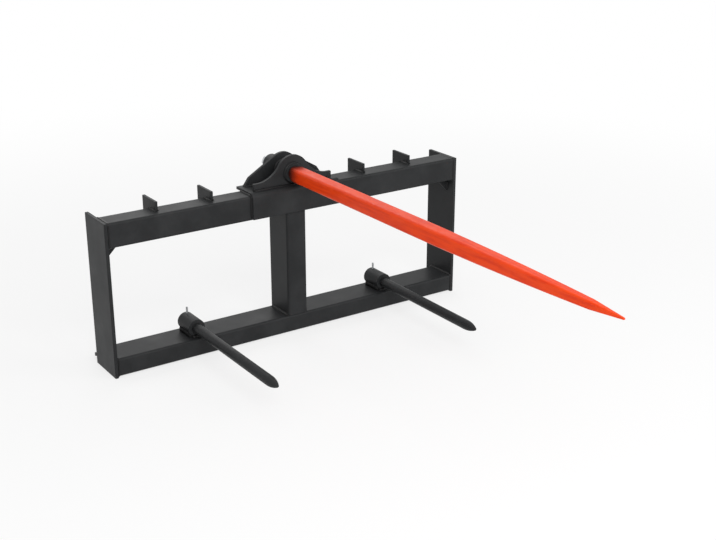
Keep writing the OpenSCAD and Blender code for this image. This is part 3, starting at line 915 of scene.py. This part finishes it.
@dataclass
class ForgedSpear:
    """The long spear: square forging with a smooth arched nose, taper seat and cut thread."""

    paints: Paints
    straight_len: float = 566.0 * MM
    point_len: float = 93.0 * MM
    point_half: float = 10.0 * MM
    tip_half: float = 2.0 * MM
    tip_len: float = 2.3 * MM
    shoulder_at: float = 3.0 * MM
    shoulder_len: float = 12.0 * MM
    corner_ratio: float = 1.24
    corner_power: float = 40.0
    cone_back_half: float = 12.8 * MM
    cone_front_half: float = 18.9 * MM
    cone_len: float = 128.0 * MM
    thread_pitch: float = 2.5 * MM
    thread_depth: float = 1.35 * MM
    thread_half: float = 11.0 * MM
    thread_seen: float = 9.0 * MM
    neck_drop: float = 0.2 * MM  # the plain neck under the thread's crest
    neck_in: float = 2.0 * MM  # how far it reaches into the taper
    rings_a_pitch: int = 14
    around: int = 128

    def build(self) -> None:
        """Makes the spear and its thread, and lets them stand for their CAD node."""
        low, high = node_box("main_spear")
        sleeve_low, sleeve_high = node_box("spear_sleeve")
        front = sleeve_low[1]
        forging = self._body((high[0] - low[0]) / 2.0, front - low[1])
        body = np.concatenate([self._taper(), forging])
        thread = self._thread(high[1] - front)
        for name, rings, paint, slot in (
                ("forged_spear", body, self.paints.orange, "spear_paint"),
                ("spear_thread", thread, self.paints.zinc, "zinc_plate")):
            rings[..., 1] = front - rings[..., 1]
            rings[..., 2] += (sleeve_low[2] + sleeve_high[2]) / 2.0
            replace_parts(closed_tube(name, rings, paint), "main_spear")

    def _angles(self) -> Array:
        """Returns the angles once round the bar, as a row."""
        return np.linspace(0.0, math.tau, self.around, endpoint=False)[None, :]

    def _rings(self, distance: Array, radius: Array) -> Array:
        """Turns radii into points (r cos a, d, r sin a).

        Args:
            distance: Distance d of each ring from the sleeve's front, towards the tip.
            radius: Radius r at each ring and angle, or one a ring.

        Returns:
            The points as (rings, around, 3).
        """
        angle = self._angles()
        radius = radius * np.ones_like(angle)
        along = distance[:, None] * np.ones_like(angle)
        return np.stack([radius * np.cos(angle), along, radius * np.sin(angle)], axis=-1)

    def _square(self, half: Array) -> Array:
        """Works out a square section with rounded corners.

        The flat side lies at half / max(|cos a|, |sin a|) and the corner circle at ratio * half.
        The smaller of the two is taken with a soft minimum, (f^-p + c^-p)^(-1/p).

        Args:
            half: Half the side at each ring.

        Returns:
            The radius at each ring and angle.
        """
        angle, power = self._angles(), self.corner_power
        flat = 1.0 / np.maximum(np.abs(np.cos(angle)), np.abs(np.sin(angle)))
        return half[:, None] * (flat ** -power + self.corner_ratio ** -power) ** (-1.0 / power)

    def _thread(self, back: float) -> Array:
        """Works out the threaded end, from its end face towards the sleeve.

        The radius at distance d and angle a is crest - depth * |2 frac(d / pitch + a / turn) - 1|,
        a single V thread, and the first pitch is turned down by a chamfer.

        Args:
            back: Distance from the sleeve's front to the end of the thread.

        Returns:
            The rings, at negative distances because they lie behind the sleeve's front.
        """
        steps = int(self.thread_seen / self.thread_pitch * self.rings_a_pitch)
        inward = np.linspace(0.0, self.thread_seen, steps)
        lead = inward[:, None] / self.thread_pitch + self._angles() / math.tau
        valley = np.abs(2.0 * (lead - np.floor(lead)) - 1.0)
        crest = self.thread_half - self.thread_depth * valley
        chamfer = self.thread_half - self.thread_depth * 1.2 + inward[:, None]
        cut = self._rings(inward - back, np.minimum(crest, chamfer))
        neck_at = np.array([self.thread_seen + self.neck_drop,
                            back - self.cone_len + self.neck_in])
        neck = self._rings(neck_at - back, np.full((2, 1), self.thread_half - self.neck_drop))
        return np.concatenate([cut, neck])

    def _taper(self) -> Array:
        """Returns the rings of the round taper that sits in the sleeve."""
        radius = np.linspace(self.cone_back_half, self.cone_front_half, 12)[:, None]
        return self._rings(np.linspace(-self.cone_len, 0.0, 12), radius)

    def _body(self, side: float, length: float) -> Array:
        """Works out the square forging, from its shoulder to its tip.

        The half side is constant along the straight part. Along the nose it follows a circle
        that leaves the straight part smoothly, half = side - R + sqrt(R^2 - d^2), and along the
        point it falls in a straight line. The shoulder grows from the taper's circle to the
        full square along a quarter ellipse, and the tip closes along another.

        Args:
            side: Half the side of the straight part.
            length: Distance from the sleeve's front to the tip.

        Returns:
            The rings at positive distances.
        """
        nose_len = length - self.straight_len - self.point_len
        drop = side - self.point_half
        arc = (nose_len ** 2 + drop ** 2) / (2.0 * drop)
        point_at = length - self.point_len
        eased = 1.0 - np.cos(np.linspace(0.0, math.pi / 2.0, 10))
        distance = np.concatenate([
            self.shoulder_at + self.shoulder_len * eased,
            np.linspace(self.shoulder_at + self.shoulder_len + 4.0 * MM, point_at, 150),
            point_at + self.point_len * np.linspace(0.03, 0.975, 26),
            length - self.tip_len * (1.0 - np.sin(np.linspace(0.0, 1.5, 8)))])
        nose = np.clip(distance - self.straight_len, 0.0, nose_len)
        half = side - arc + np.sqrt(arc ** 2 - nose ** 2)
        gone = np.clip((distance - point_at) / self.point_len, 0.0, 1.0)
        half = half + (self.tip_half - self.point_half) * gone
        near = np.clip((length - distance) / self.tip_len, 0.0, 1.0)
        half = half * np.sqrt(np.clip(1.0 - (1.0 - near) ** 2, 0.01, 1.0))
        grow = np.clip((distance - self.shoulder_at) / self.shoulder_len, 0.0, 1.0)[:, None]
        grow = np.sqrt(1.0 - (1.0 - grow) ** 2)
        radius = self.cone_front_half * (1.0 - grow) + self._square(half) * grow
        return self._rings(distance, radius)


@dataclass
class Stabilisers(Weldment):
    """The two round spears on the bottom rail, their sleeves and their pins."""

    bead: WeldBead = WeldBead(leg=8.0 * MM, pitch=3.4 * MM, fullness=1.2)
    end_leg: float = 6.5 * MM
    end_gap: float = 1.0 * MM  # what a bead along the sleeve leaves free
    root_share: float = 0.55  # a long bead's corner from the middle, in sleeve radii
    toe_share: float = 0.98  # its outer edge on the rail
    cross_share: float = 0.62  # the ends of a bead across
    wrap_deg: float = 64.0  # how far up the sleeve a long bead reaches

    def build(self) -> None:
        """Dresses both sides and lays the thick fillets under the sleeves."""
        for side in SIDES:
            self.soft.plate(f"stabilizer_sleeve_{side.word}", self.paints.black)
            dress((f"stabilizer_spear_{side.word}",), self.paints.black)
            dress((f"stabilizer_pin_{side.word}",), self.paints.zinc)
            self._fillets(side)

    def _fillets(self, sleeve: Way) -> None:
        """Fills the crevice on each side of a sleeve with a thick bead, and closes its ends.

        Seen along the sleeve, a long bead runs from its corner out to its toe along the rail,
        and up to the point R (sin w, 1 - cos w) of the sleeve, with w the wrap angle. A short
        bead crosses under each end of the sleeve between the two.

        Args:
            sleeve: Which stabiliser.
        """
        box = low, high = node_box(f"stabilizer_sleeve_{sleeve.word}")
        radius, middle = (high[0] - low[0]) / 2.0, (high[0] + low[0]) / 2.0
        start = self.root_share * radius
        wrap = math.radians(self.wrap_deg)
        for side in SIDES:
            tag = "outer" if side is sleeve else "inner"
            x = middle + side.sign * start
            line = np.array([[x, low[1] + self.end_gap, low[2]],
                             [x, high[1] - self.end_gap, low[2]]])
            sleeve_way = np.array([side.sign * (radius * math.sin(wrap) - start), 0.0,
                                   radius * (1.0 - math.cos(wrap))])
            self.weld(f"stabilizer_{sleeve.word}_{tag}_bead", line,
                      side.out * (self.toe_share * radius - start), sleeve_way, seed=51)
        half = self.cross_share * radius
        for face in FACES:
            y = face.end(box)
            line = np.array([[middle - half, y, low[2]], [middle + half, y, low[2]]])
            self.weld(f"stabilizer_{sleeve.word}_{face.word}_bead", line,
                      face.out * self.end_leg, Z_AXIS * self.end_leg, seed=52)


# ---------------- studio

@dataclass(frozen=True)
class Softbox:
    """One square lamp: where it hangs, the point that it faces, its side and its power."""

    name: str
    at: Point
    aim: Point
    size: float
    watts: float

    def build(self) -> None:
        """Adds the lamp."""
        data = bpy.data.lights.new(self.name, "AREA")
        data.size = self.size
        data.energy = self.watts
        lamp = put(self.name, data)
        lamp.location = self.at
        facing = Vector(self.aim) - Vector(self.at)
        lamp.rotation_euler = facing.to_track_quat("-Z", "Y").to_euler()


@dataclass
class Studio:
    """Pale floor, white surround, soft lamps and the camera."""

    floor_z: float
    floor_half: float = 30.0
    paper: str = "#F2F2F2"
    glow: str = "#FFFFFF"
    fade_from: float = 0.9  # from here on the floor turns plain white
    fade_to: float = 3.2
    glow_near: float = 0.72  # share of plain white nearer by, where the shadow shows
    dome_light: float = 0.5
    camera_at: Point = (-1.6742, -2.8906, 1.1980)
    heading_deg: float = 34.09
    down_deg: float = 20.67
    lens_mm: float = 60.22
    sensor_mm: float = 36.0
    clip_end: float = 100.0
    lamps: tuple[Softbox, ...] = (
        Softbox("key_softbox", (-0.9, -3.3, 2.3), (0.0, -0.4, 0.0), 2.6, 86.0),
        Softbox("fill_softbox", (2.4, -3.0, 1.8), (0.0, -0.4, 0.0), 2.4, 40.0),
        Softbox("back_softbox", (0.6, 3.0, 2.6), (0.0, 0.0, 0.0), 2.6, 30.0))

    def build(self) -> None:
        """Makes the floor, the surround, the lamps and the camera."""
        self._floor()
        self._surround()
        for lamp in self.lamps:
            lamp.build()
        self._camera()
        bpy.context.scene.view_settings.view_transform = "Standard"

    def _floor(self) -> None:
        """Makes one large flat sheet just under the frame's feet."""
        half, z = self.floor_half, self.floor_z
        mesh = bpy.data.meshes.new("studio_floor")
        mesh.from_pydata([(-half, -half, z), (half, -half, z), (half, half, z),
                          (-half, half, z)], [], [(0, 1, 2, 3)])
        material, tree = new_material("white_paper")
        rays = add_node(tree, "ShaderNodeLightPath")
        seen = add_node(tree, "ShaderNodeMath", {
            0: rays.outputs["Is Camera Ray"],
            1: rays.outputs["Is Glossy Ray"]}, operation="MAXIMUM")
        place = add_node(tree, "ShaderNodeTexCoord").outputs["Object"]
        away = add_node(tree, "ShaderNodeVectorMath", {0: place}, operation="LENGTH")
        fade = add_node(tree, "ShaderNodeMapRange", {
            "Value": away.outputs["Value"], "From Min": self.fade_from, "From Max": self.fade_to,
            "To Min": self.glow_near}, interpolation_type="SMOOTHSTEP")
        share = add_node(tree, "ShaderNodeMath", {0: seen, 1: fade}, operation="MULTIPLY")
        paper = add_node(tree, "ShaderNodeBsdfDiffuse", {"Color": linear_rgba(self.paper)})
        glow = add_node(tree, "ShaderNodeEmission", {"Color": linear_rgba(self.glow)})
        both = add_node(tree, "ShaderNodeMixShader", {0: share, 1: paper, 2: glow})
        add_node(tree, "ShaderNodeOutputMaterial", {"Surface": both})
        mesh.materials.append(material)
        put("studio_floor", mesh)

    def _surround(self) -> None:
        """Makes the world: a soft white dome that the camera and gloss see as plain white."""
        world = bpy.data.worlds.new("white_surround")
        bpy.context.scene.world = world
        world.use_nodes = True
        tree = world.node_tree
        tree.nodes.clear()
        rays = add_node(tree, "ShaderNodeLightPath")
        seen = add_node(tree, "ShaderNodeMath", {
            0: rays.outputs["Is Camera Ray"],
            1: rays.outputs["Is Transmission Ray"]}, operation="MAXIMUM")
        mirrored = add_node(tree, "ShaderNodeMath", {
            0: seen, 1: rays.outputs["Is Glossy Ray"]}, operation="MAXIMUM")
        strength = add_node(tree, "ShaderNodeMapRange", {
            "Value": mirrored, "To Min": self.dome_light})
        dome = add_node(tree, "ShaderNodeBackground", {
            "Color": linear_rgba(self.glow), "Strength": strength})
        add_node(tree, "ShaderNodeOutputWorld", {"Surface": dome})

    def _camera(self) -> None:
        """Adds the camera, turned about Z to its heading and tipped down."""
        data = bpy.data.cameras.new("studio_camera")
        data.lens = self.lens_mm
        data.sensor_width = self.sensor_mm
        data.clip_end = self.clip_end
        camera = put("studio_camera", data)
        camera.location = self.camera_at
        camera.rotation_euler = Euler((math.radians(90.0 - self.down_deg), 0.0,
                                       math.radians(-self.heading_deg)), "XYZ")
        bpy.context.scene.camera = camera


def main() -> None:
    """Builds the finishes, the pieces and the studio in order; each piece is logged."""
    logging.basicConfig(level=logging.INFO, format="%(message)s")
    paints = Paints(BlackEnamel().build(), SHADED_WELD_ENAMEL.build(), OrangeEnamel().build(),
                    ZincPlate().build())
    WeldedFrame(paints).build()
    LoaderHook(paints).build()
    SpearBracket(paints).build()
    ForgedSpear(paints).build()
    dress(("spear_nut", "spear_washer"), paints.zinc)
    Stabilisers(paints).build()
    Studio(floor_z=float(CAD_BOX[0][2])).build()


if __name__ == "__main__":
    main()
